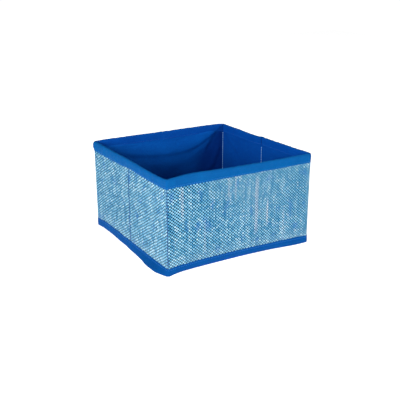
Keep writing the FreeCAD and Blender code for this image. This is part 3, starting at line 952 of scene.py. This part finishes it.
def top_fn(s, d, z):
    low = smooth(157, 144, z)
    outer = smooth(3.2, 2.0, d)
    inner = 1 - outer
    n1, n2, n3 = n_edge(s), n_edge2(s), n_edge(s + 333)
    puff = smooth(144, 150, z) * smooth(160, 154, z)
    dd = d - outer * puff * (0.16 * n1 + 0.10 * n2) + inner * puff * (0.10 * n3 + 0.06 * n2)
    dd = dd - 1.3 * outer * puff * bell(s - S_RL, 8)
    dd = dd - inner * 0.8 * bell(s - S_LEFT(-92), 40)
    # where the tape's ends overlap
    lap = smooth(S_LEFT(32), S_LEFT(31.2), s) * smooth(S_LEFT(20.5), S_LEFT(21.3), s)
    dd = dd - outer * 0.30 * lap + inner * 0.30 * lap
    # at a leaf fold the tape is pinched a little
    dd = dd + outer * 0.25 * bell(mid_dist(s), 1.6) - inner * (1.0 * bell(mid_dist(s), 1.1) + 0.5 * bell(corner_dist(s), 1.2))
    # small creases along the inner leg
    dd = dd + inner * puff * 0.16 * np.sin(1.45 * z + 2.4 * n_wall2(s) + 1.5 * n_wall(s)) * (0.5 + 0.5 * n_wall2(s + 511))
    zz = z + low * outer * leg_up(s) + low * inner * (0.35 * n3) + low * outer * 0.16 * n2
    zz = zz + smooth(155, 160, z) * (0.16 * n1 + 0.12 * n2 + 0.22 * lap - 0.35 * bell(mid_dist(s), 1.8))
    return dd, zz


L_TOP = section_strip(rounded(TOP), top_fn, TAPE)
for part in SPANS:
    A, B, NA, NB, s, v = cut(L_TOP, *SPANS[part])
    ob = strip(part + "_top_tape", A, B, NA, NB, s, v, [M_TOP])
    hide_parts(part + "_top_binding")
    attach(ob, part)

# foot binding ----------------------------------------------------------------
FOOT_A = [(1.5, 0.02), (0.75, 0.15), (0.28, 0.6), (0.05, 1.5), (-0.08, 3.0), (-0.12, 5.0), (-0.08, 7.0), (0.02, 8.8), (0.22, 10.2), (0.10, 11.2), (0.02, 12.2), (0.08, 12.9), (0.30, 13.2)]
FOOT_B = [(2.1, 0.02), (2.85, 0.15), (3.32, 0.6), (3.55, 1.5), (3.60, 3.0), (3.60, 5.0), (3.60, 7.0), (3.60, 8.8), (3.58, 10.2), (3.55, 11.2), (3.2, 12.2), (2.0, 12.9), (1.2, 13.2)]


def foot_fn(s, d, z, inner=False):
    n1, n2 = n_edge(s + 77), n_edge2(s + 21)
    dd = d - (0.0 if inner else 1.0) * (0.16 * n1 + 0.14 * n2) * smooth(0, 3, z) * smooth(13, 8, z)
    return dd, z + (0.30 * n1 + 0.14 * n2) * smooth(6, 13, z) - 0.0


pa, pb = np.array(FOOT_A), np.array(FOOT_B)
sA = SC[:, None]
dA, zA = foot_fn(sA, np.broadcast_to(pa[None, :, 0], (NC, len(pa))), np.broadcast_to(pa[None, :, 1], (NC, len(pa))))
dB, zB = foot_fn(sA, np.broadcast_to(pb[None, :, 0], (NC, len(pb))), np.broadcast_to(pb[None, :, 1], (NC, len(pb))), True)
GA, GB = place(sA, dA, zA), place(sA, dB, zB)
L_FOOT = (GA, GB, ring_normals(GA), -ring_normals(GB), pa[:, 1])
mark["left_foot"] = int(np.argmin(np.abs(SC - S_LEFT(-22))))


def foot_ride(ob, part, fold):
    """A corner's foot is baked in place and rides no body. The others lie down as the walls fold."""
    if isinstance(fold, str):
        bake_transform(ob)
        return
    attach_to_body(ob, BODY[part])
    if fold:
        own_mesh(ob)


FEET = [
    ("front_foot_tape", "front", ("front_a", "front_b"), None),
    ("right_corner_foot_tape", "front", ("front_b", "fr_split"), "right_front"),
    ("left_corner_foot_tape", "front", ("fl_split", "front_a"), "left_front"),
    ("right_front_foot_tape", "right_front", ("fr_split", "right_mid"), (0.0, 0.5)),
    ("right_rear_foot_tape", "right_rear", ("right_mid", "rr_split"), (0.0, 0.5)),
    ("rear_foot_tape", "rear", ("rr_split", "rear_b"), (0.0, 0.5)),
    ("rear_corner_foot_tape", "rear", ("rear_b", "rl_split"), "rear"),
    ("left_rear_foot_tape", "left_rear", ("rl_split", "left_mid"), (20.0, 0.35)),
    ("left_front_foot_tape_end", "left_front", ("left_mid", "left_foot"), (28.0, 0.2)),
    ("left_front_foot_tape", "left_front", ("left_foot", "fl_split"), (30.0, 0.15)),
]
for name, part, sp, fold in FEET:
    A, B, NA, NB, s, v = cut(L_FOOT, *sp)
    ob = strip(name, A, B, NA, NB, s, v, [M_BOT])
    if not name.endswith("_end") and "_corner_" not in name:
        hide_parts(part + "_bottom_binding")
    foot_ride(ob, part, fold)


# stitches ------------------------------------------------------------------
def capsules(name, centre, along, up, length, radius, material, flat=0.75):
    """Many small stitches in one mesh. Arrays are (n, 3) in mm."""
    centre, along, up = (np.asarray(v, float) for v in (centre, along, up))
    along = along / np.linalg.norm(along, axis=1, keepdims=True)
    side = np.cross(up, along)
    side /= np.linalg.norm(side, axis=1, keepdims=True)
    up = np.cross(along, side)
    L = np.broadcast_to(np.asarray(length, float), (len(centre),))
    t = np.array([-0.5, -0.42, -0.22, 0.0, 0.22, 0.42, 0.5])
    rr = np.array([0.30, 0.78, 1.0, 1.0, 1.0, 0.78, 0.30])
    lift = np.array([-1.1, -0.35, 0.05, 0.15, 0.05, -0.35, -1.1])
    n, m, q = len(centre), len(t), 8
    ang = np.arange(q) * 2 * math.pi / q
    v = (
        centre[:, None, None]
        + along[:, None, None] * (t[None, :, None, None] * L[:, None, None, None])
        + up[:, None, None] * (radius * (lift[None, :, None, None] + flat * rr[None, :, None, None] * np.sin(ang)[None, None, :, None]))
        + side[:, None, None] * (radius * rr[None, :, None, None] * np.cos(ang)[None, None, :, None])
    )
    verts = v.reshape(-1, 3) * MM
    faces = []
    base = np.arange(n)[:, None, None] * m * q
    a = np.arange(m - 1)[None, :, None] * q
    b = np.arange(q)[None, None]
    b1 = (b + 1) % q
    quad = np.stack([base + a + b, base + a + b1, base + a + q + b1, base + a + q + b], -1).reshape(-1, 4)
    faces = [tuple(f) for f in quad.tolist()]
    c0 = (np.arange(n)[:, None] * m * q + np.arange(q)[::-1][None]).tolist()
    c1 = (np.arange(n)[:, None] * m * q + (m - 1) * q + np.arange(q)[None]).tolist()
    faces += [tuple(f) for f in c0] + [tuple(f) for f in c1]
    me = bpy.data.meshes.new(name)
    me.from_pydata([tuple(p) for p in verts.tolist()], [], faces)
    me.polygons.foreach_set("use_smooth", [True] * len(me.polygons))
    me.materials.append(material)
    ob = bpy.data.objects.new(name, me)
    scene.collection.objects.link(ob)
    return ob


r_st = np.random.default_rng(5)


def row_of_stitches(name, sp, d, z, pitch, length, radius, material, foot=True, fn=None, inward=False, profile=None):
    """A run of stitches along a piece, sitting on its surface."""
    a, b = SC[mark[sp[0]]], SC[mark[sp[1]]]
    if b <= a:
        b += PERIM
    n = max(1, int((b - a) / pitch))
    s = a + (np.arange(n) + 0.5) * (b - a) / n + r_st.uniform(-0.25, 0.25, n)
    dd, zz = np.full(n, float(d)), np.full(n, float(z)) + r_st.uniform(-0.12, 0.12, n)

    def at(s_, z_):
        d2, z2 = dd, z_
        if fn is not None:
            d2, z2 = fn(s_, dd, z_)
        return place(s_, d2, z2, foot)

    p = at(s, zz)
    q = at(s + 0.6, zz)
    up = np.cross(q - p, at(s, zz + 0.6) - p)
    if inward:
        up = -up
    return capsules(name, p, q - p, up, length + r_st.uniform(-0.3, 0.3, n), radius, material)


for part in SPANS:
    o = row_of_stitches(part + "_top_outer_stitches", SPANS[part], 0.26, 146.1, 3.6, 2.4, 0.24, M_BIND, fn=top_fn)
    attach(o, part)
    o = row_of_stitches(part + "_top_inner_stitches", SPANS[part], 4.90, 146.4, 3.6, 2.4, 0.18, M_BIND_IN_SHADED, fn=top_fn, inward=True)
    attach(o, part)
for name, part, sp, fold in FEET:
    o = row_of_stitches(name.replace("tape", "stitches"), sp, 0.20, 10.2, 3.6, 2.4, 0.24, M_BIND, fn=foot_fn)
    foot_ride(o, part, fold)


def column_of_stitches(name, s, d, z0, z1, pitch, length, radius, material, foot=True, inward=False, fn=None, ds=0.0):
    n = int((z1 - z0) / pitch)
    z = z0 + (np.arange(n) + 0.5) * (z1 - z0) / n + r_st.uniform(-0.2, 0.2, n)
    ss = np.full(n, float(s)) + ds + r_st.uniform(-0.1, 0.1, n)

    def at(s_, z_):
        d2 = np.full(np.shape(z_), float(d))
        if fn is not None:
            d2 = d2 + fn(s_, z_)
        return place(s_, d2, z_, foot)

    p = at(ss, z)
    q = at(ss, z + 0.6)
    up = np.cross(at(ss + 0.6, z) - p, q - p)
    if inward:
        up = -up
    return capsules(name, p, q - p, up, length + r_st.uniform(-0.2, 0.2, n), radius, material)


# inside corners: a rolled seam with pale stitches
for nm, sc, body in (("front_left", S_FL, "front_wall"), ("front_right", S_FR, "front_wall"), ("rear_left", S_RL, "rear_wall"), ("rear_right", S_RR, "rear_wall")):
    n = 66
    z = np.linspace(13.2, 143.8, n)
    c = place(np.full(n, sc), D_LIN1 + 0.15 + 0.10 * n_edge2(z * 3 + sc), z, False)
    ang = np.arange(8) * 2 * math.pi / 8
    tang = np.gradient(c, axis=0)
    tang /= np.linalg.norm(tang, axis=1, keepdims=True)
    nrm = frame_at(np.full(n, sc))[1]
    nrm = np.concatenate([nrm, np.zeros((n, 1))], 1)
    side = np.cross(tang, nrm)
    rad = (0.55 * np.where((np.arange(n) == 0) | (np.arange(n) == n - 1), 0.5, 1.0))[:, None, None]
    v = c[:, None] + rad * (nrm[:, None] * np.cos(ang)[None, :, None] + side[:, None] * np.sin(ang)[None, :, None])
    me = bpy.data.meshes.new(nm + "_corner_welt")
    k = (np.arange(n - 1)[:, None] * 8 + np.arange(8)[None])
    k1 = (np.arange(n - 1)[:, None] * 8 + (np.arange(8)[None] + 1) % 8)
    faces = np.stack([k, k + 8, k1 + 8, k1], -1).reshape(-1, 4).tolist() + [list(range(8)), list(range((n - 1) * 8 + 7, (n - 1) * 8 - 1, -1))]
    me.from_pydata([tuple(p) for p in (v.reshape(-1, 3) * MM).tolist()], [], faces)
    uv = me.uv_layers.new(name="cloth")
    co = v.reshape(-1, 3) * MM
    for lp in me.loops:
        p = co[lp.vertex_index]
        uv.data[lp.index].uv = (p[0] + p[1], p[2])
    me.polygons.foreach_set("use_smooth", [True] * len(me.polygons))
    me.materials.append(M_LIN)
    w = bpy.data.objects.new(nm + "_corner_welt", me)
    scene.collection.objects.link(w)
    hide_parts(nm + "_corner_seam")
    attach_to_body(w, body)
    o = column_of_stitches(nm + "_corner_stitches", sc, D_LIN1 + 0.75, 14, 144.0, 4.4, 2.6, 0.62, M_WHITE_SHADED, foot=False, inward=True)
    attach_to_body(o, body)

# outside of the front left corner: a line of dark stitches
o = column_of_stitches("front_left_outer_stitches", S_FL, D_OUT0 - 0.15, 16, 142, 4.2, 3.2, 0.75, M_DARK)
attach(o, "left_front")
# middle folds: dark stitches outside, pale ones in the groove inside
for nm, sm, part in (("left", S_LEFT(0), "left_rear"), ("right", S_RIGHT(0), "right_rear")):
    o = column_of_stitches(nm + "_middle_outer_stitches", sm, D_OUT0 - 0.10, 14, 143, 3.9, 3.0, 0.60, M_DARK)
    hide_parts(nm + "_middle_seam")
    attach(o, part)
    o = column_of_stitches(nm + "_middle_inner_stitches", sm, D_LIN1 + 0.25, 14, 141.5, 4.4, 2.6, 0.62, M_WHITE_SHADED, foot=False, inward=True, fn=groove)
    attach(o, part)


# floor cloth and insert ------------------------------------------------------
def lines(half_lo, half_hi, edge, step):
    inner = np.arange(1, max(2, int((half_hi - half_lo - 2 * edge[-1]) / step)))
    n = max(2, int(round((half_hi - half_lo - 2 * edge[-1]) / step)))
    mid = np.linspace(half_lo + edge[-1], half_hi - edge[-1], n + 1)
    return np.concatenate([half_lo + np.array(edge[:-1]), mid, half_hi - np.array(edge[:-1])[::-1]])


def slab(name, x0, x1, y0, y1, r, z0, z1, edge, step, material, top_fn=None, bot_fn=None, round_by=1.4, warp=None):
    """A thin cloth-covered panel with rounded corners and edges."""
    xs, ys = lines(x0, x1, edge, step), lines(y0, y1, edge, step)
    X, Y = np.meshgrid(xs, ys, indexing="ij")
    cx, cy = (x0 + x1) / 2, (y0 + y1) / 2
    hx, hy = (x1 - x0) / 2, (y1 - y0) / 2
    qx, qy = np.abs(X - cx) - (hx - r), np.abs(Y - cy) - (hy - r)
    corner = (qx > 0) & (qy > 0)
    # square corner areas mapped onto quarter discs
    mx = np.maximum(qx, qy)
    ln = np.maximum(np.hypot(qx, qy), 1e-9)
    k = np.where(corner, mx / ln, 1.0)
    X = np.where(corner, cx + np.sign(X - cx) * (hx - r + qx * k), X)
    Y = np.where(corner, cy + np.sign(Y - cy) * (hy - r + qy * k), Y)
    qx, qy = np.abs(X - cx) - (hx - r), np.abs(Y - cy) - (hy - r)
    dist = np.where((qx > 0) & (qy > 0), r - np.hypot(np.maximum(qx, 0), np.maximum(qy, 0)), np.minimum(r - qx, r - qy))
    dist = np.maximum(dist, 0)
    half = (z1 - z0) / 2
    rb = min(round_by, half)
    e = np.clip(dist / rb, 0, 1)
    h = half - rb + rb * np.sqrt(np.clip(1 - (1 - e) ** 2, 0, 1)) * 0.97 + 0.03 * rb
    zc = (z0 + z1) / 2
    zt = zc + h + (top_fn(X, Y, dist) if top_fn else 0)
    zb = zc - h + (bot_fn(X, Y, dist) if bot_fn else 0)
    nx, ny = X.shape
    if warp:
        X, Y = warp(X, Y)
    T = np.stack([X, Y, zt], -1).reshape(-1, 3)
    Bt = np.stack([X, Y, zb], -1).reshape(-1, 3)
    verts = np.concatenate([T, Bt]) * MM
    off = nx * ny
    i = (np.arange(nx - 1)[:, None] * ny + np.arange(ny - 1)[None])
    ft = np.stack([i, i + ny, i + ny + 1, i + 1], -1).reshape(-1, 4)
    fb = ft[:, ::-1] + off
    rim = [(k * ny, (k + 1) * ny) for k in range(nx - 1)]
    rim += [((nx - 1) * ny + k, (nx - 1) * ny + k + 1) for k in range(ny - 1)]
    rim += [((k + 1) * ny + ny - 1, k * ny + ny - 1) for k in range(nx - 2, -1, -1)]
    rim += [(k + 1, k) for k in range(ny - 2, -1, -1)]
    fr = np.array([(a, a + off, b + off, b) for a, b in rim])
    faces = np.concatenate([ft, fb, fr]).tolist()
    me = bpy.data.meshes.new(name)
    me.from_pydata([tuple(p) for p in verts.tolist()], [], faces)
    uv = me.uv_layers.new(name="cloth")
    idx = np.empty(len(me.loops), np.int32)
    me.loops.foreach_get("vertex_index", idx)
    uv.data.foreach_set("uv", verts[idx][:, :2].astype(np.float32).ravel())
    me.polygons.foreach_set("use_smooth", [True] * len(me.polygons))
    me.materials.append(material)
    ob = bpy.data.objects.new(name, me)
    scene.collection.objects.link(ob)
    return ob


def ripple(seed, amp, scale):
    r = np.random.default_rng(seed)
    w = [(r.uniform(0.6, 1.5) / scale, r.uniform(0, 2 * math.pi), r.uniform(0, 2 * math.pi), r.uniform(0.4, 1)) for _ in range(7)]

    def f(x, y):
        return amp * sum(a * np.sin((x * math.cos(t) + y * math.sin(t)) * k * 2 * math.pi + p) for k, t, p, a in w) / 3.0

    return f


rp1, rp2, rp3 = ripple(3, 0.16, 60.0), ripple(4, 0.12, 24.0), ripple(6, 0.14, 45.0)


def to_feet(x, y):
    """The floor's edge goes out with the foot of each wall."""
    fx = smooth(112, 135, np.abs(x)) * np.where(x > 0, foot_out(S_RIGHT(y)), foot_out(S_LEFT(y)))
    fy = smooth(112, 130, np.abs(y)) * np.where(y > 0, foot_out(S_REAR(x)), foot_out(S_FRONT(x)))
    return x + np.sign(x) * fx, y + np.sign(y) * fy


floor_piece = slab(
    "floor_cloth", -136.5, 136.5, -131.5, 131.5, 2.0, 0.06, 0.74, [0, 0.4, 1.2, 3], 4.0, M_FLOOR,
    None, lambda x, y, e: 0.22 * bell(y, 1.2) * smooth(0, 3, e), 0.34, to_feet,
)
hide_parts("floor_fabric")
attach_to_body(floor_piece, "front_wall")
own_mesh(floor_piece)

cover = slab(
    "insert_cloth", -132.0, 132.0, -126.8, 126.8, 6.0, 1.12, 4.22, [0, 0.25, 0.6, 1.1, 1.8, 3.2, 6], 3.0, M_LIN,
    lambda x, y, e: (rp1(x, y) * 0.8 + rp2(x, y) * 0.5 - 0.10) * smooth(1.5, 16, e) - 0.16 * bell(e - 4.2, 1.0),
    lambda x, y, e: 0.30 * smooth(19.2, 18.2, e) * 0 + 0.18 * smooth(17.6, 18.6, e), 1.5,
)
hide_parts("insert_cover")
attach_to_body(cover, "base_insert")
core = slab("insert_board_panel", -131.2, 131.2, -126.0, 126.0, 5.0, 1.80, 3.50, [0, 0.4, 1.5, 5], 6.0, M_CARD, None, None, 0.4)
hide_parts("insert_board")
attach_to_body(core, "base_insert")

# stitches round the insert's edge, 4 mm in
pts, dirs = [], []
per = [(-128 + t, -122.6, 1, 0) for t in np.arange(2, 254, 4.4)] + [(127.8, -122.6 + t, 0, 1) for t in np.arange(2, 243, 4.4)]
per += [(128 - t, 122.6, -1, 0) for t in np.arange(2, 254, 4.4)] + [(-127.8, 122.6 - t, 0, -1) for t in np.arange(2, 243, 4.4)]
per = np.array(per)
P = np.stack([per[:, 0], per[:, 1], np.full(len(per), 4.16)], -1)
o = capsules("insert_stitches", P, np.stack([per[:, 2], per[:, 3], 0 * per[:, 0]], -1), np.tile([0.0, 0, 1], (len(per), 1)), 2.8, 0.26, M_BIND)
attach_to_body(o, "base_insert")

# ------------------------------------------------------------------ stage, light and camera
me = bpy.data.meshes.new("ground")
me.from_pydata([(-2.6, -2.6, 0), (2.6, -2.6, 0), (2.6, 2.6, 0), (-2.6, 2.6, 0)], [], [(0, 1, 2, 3)])
ground = bpy.data.objects.new("ground", me)
scene.collection.objects.link(ground)
gm = bpy.data.materials.new("pale_floor")
gm.use_nodes = True
gb = gm.node_tree.nodes["Principled BSDF"]
gb.inputs["Base Color"].default_value = (0.93, 0.93, 0.93, 1)
gb.inputs["Roughness"].default_value = 0.9
gb.inputs["Specular IOR Level"].default_value = 0.1
gb.inputs["Emission Color"].default_value = (1, 1, 1, 1)
gb.inputs["Emission Strength"].default_value = 0.75
me.materials.append(gm)

world = bpy.data.worlds.new("studio")
scene.world = world
world.use_nodes = True
bg = world.node_tree.nodes["Background"]
bg.inputs[0].default_value = (1.0, 1.0, 1.0, 1)
bg.inputs[1].default_value = 0.20
sky = world.node_tree.nodes.new("ShaderNodeBackground")
sky.inputs[0].default_value = (1.0, 1.0, 1.0, 1)
sky.inputs[1].default_value = 1.06
ray = world.node_tree.nodes.new("ShaderNodeLightPath")
both = world.node_tree.nodes.new("ShaderNodeMixShader")
wl = world.node_tree.links
wl.new(ray.outputs["Is Camera Ray"], both.inputs[0])
wl.new(bg.outputs[0], both.inputs[1])
wl.new(sky.outputs[0], both.inputs[2])
wl.new(both.outputs[0], world.node_tree.nodes["World Output"].inputs[0])


def lamp(name, loc, target, size, power, colour=(1, 1, 1)):
    ld = bpy.data.lights.new(name, "AREA")
    ld.shape = "RECTANGLE"
    ld.size, ld.size_y = size
    ld.energy = power
    ld.color = colour
    ob = bpy.data.objects.new(name, ld)
    ob.location = loc
    ob.rotation_euler = (Vector(target) - Vector(loc)).to_track_quat("-Z", "Y").to_euler()
    scene.collection.objects.link(ob)
    return ob


lamp("key", (-2.0, -1.2, 0.75), (0, 0, 0.08), (1.2, 0.8), 64)
lamp("fill", (1.75, -1.85, 0.80), (0, 0, 0.08), (1.1, 0.8), 34)
lamp("top", (0.0, 0.0, 2.3), (0, 0, 0), (1.4, 1.4), 12)

az, el = math.radians(-31.431), math.radians(18.798)
back = Vector((math.sin(az) * math.cos(el), -math.cos(az) * math.cos(el), math.sin(el)))
right = Vector((math.cos(az), math.sin(az), 0))
up = back.cross(right)
loc = Vector((0, 0, 0.08)) + back * 1.3281 - right * (-0.001764) - up * 0.015232
cam_data = bpy.data.cameras.new("camera")
cam_data.lens = 66.64
cam_data.sensor_width = 36
cam_data.clip_end = 200
cam = bpy.data.objects.new("camera", cam_data)
m = Matrix((right, up, back)).transposed().to_4x4()
m.translation = loc
cam.matrix_world = m
scene.collection.objects.link(cam)
scene.camera = cam
scene.view_settings.view_transform = "Standard"
scene.view_settings.look = "None"
scene.view_settings.exposure = 0.0
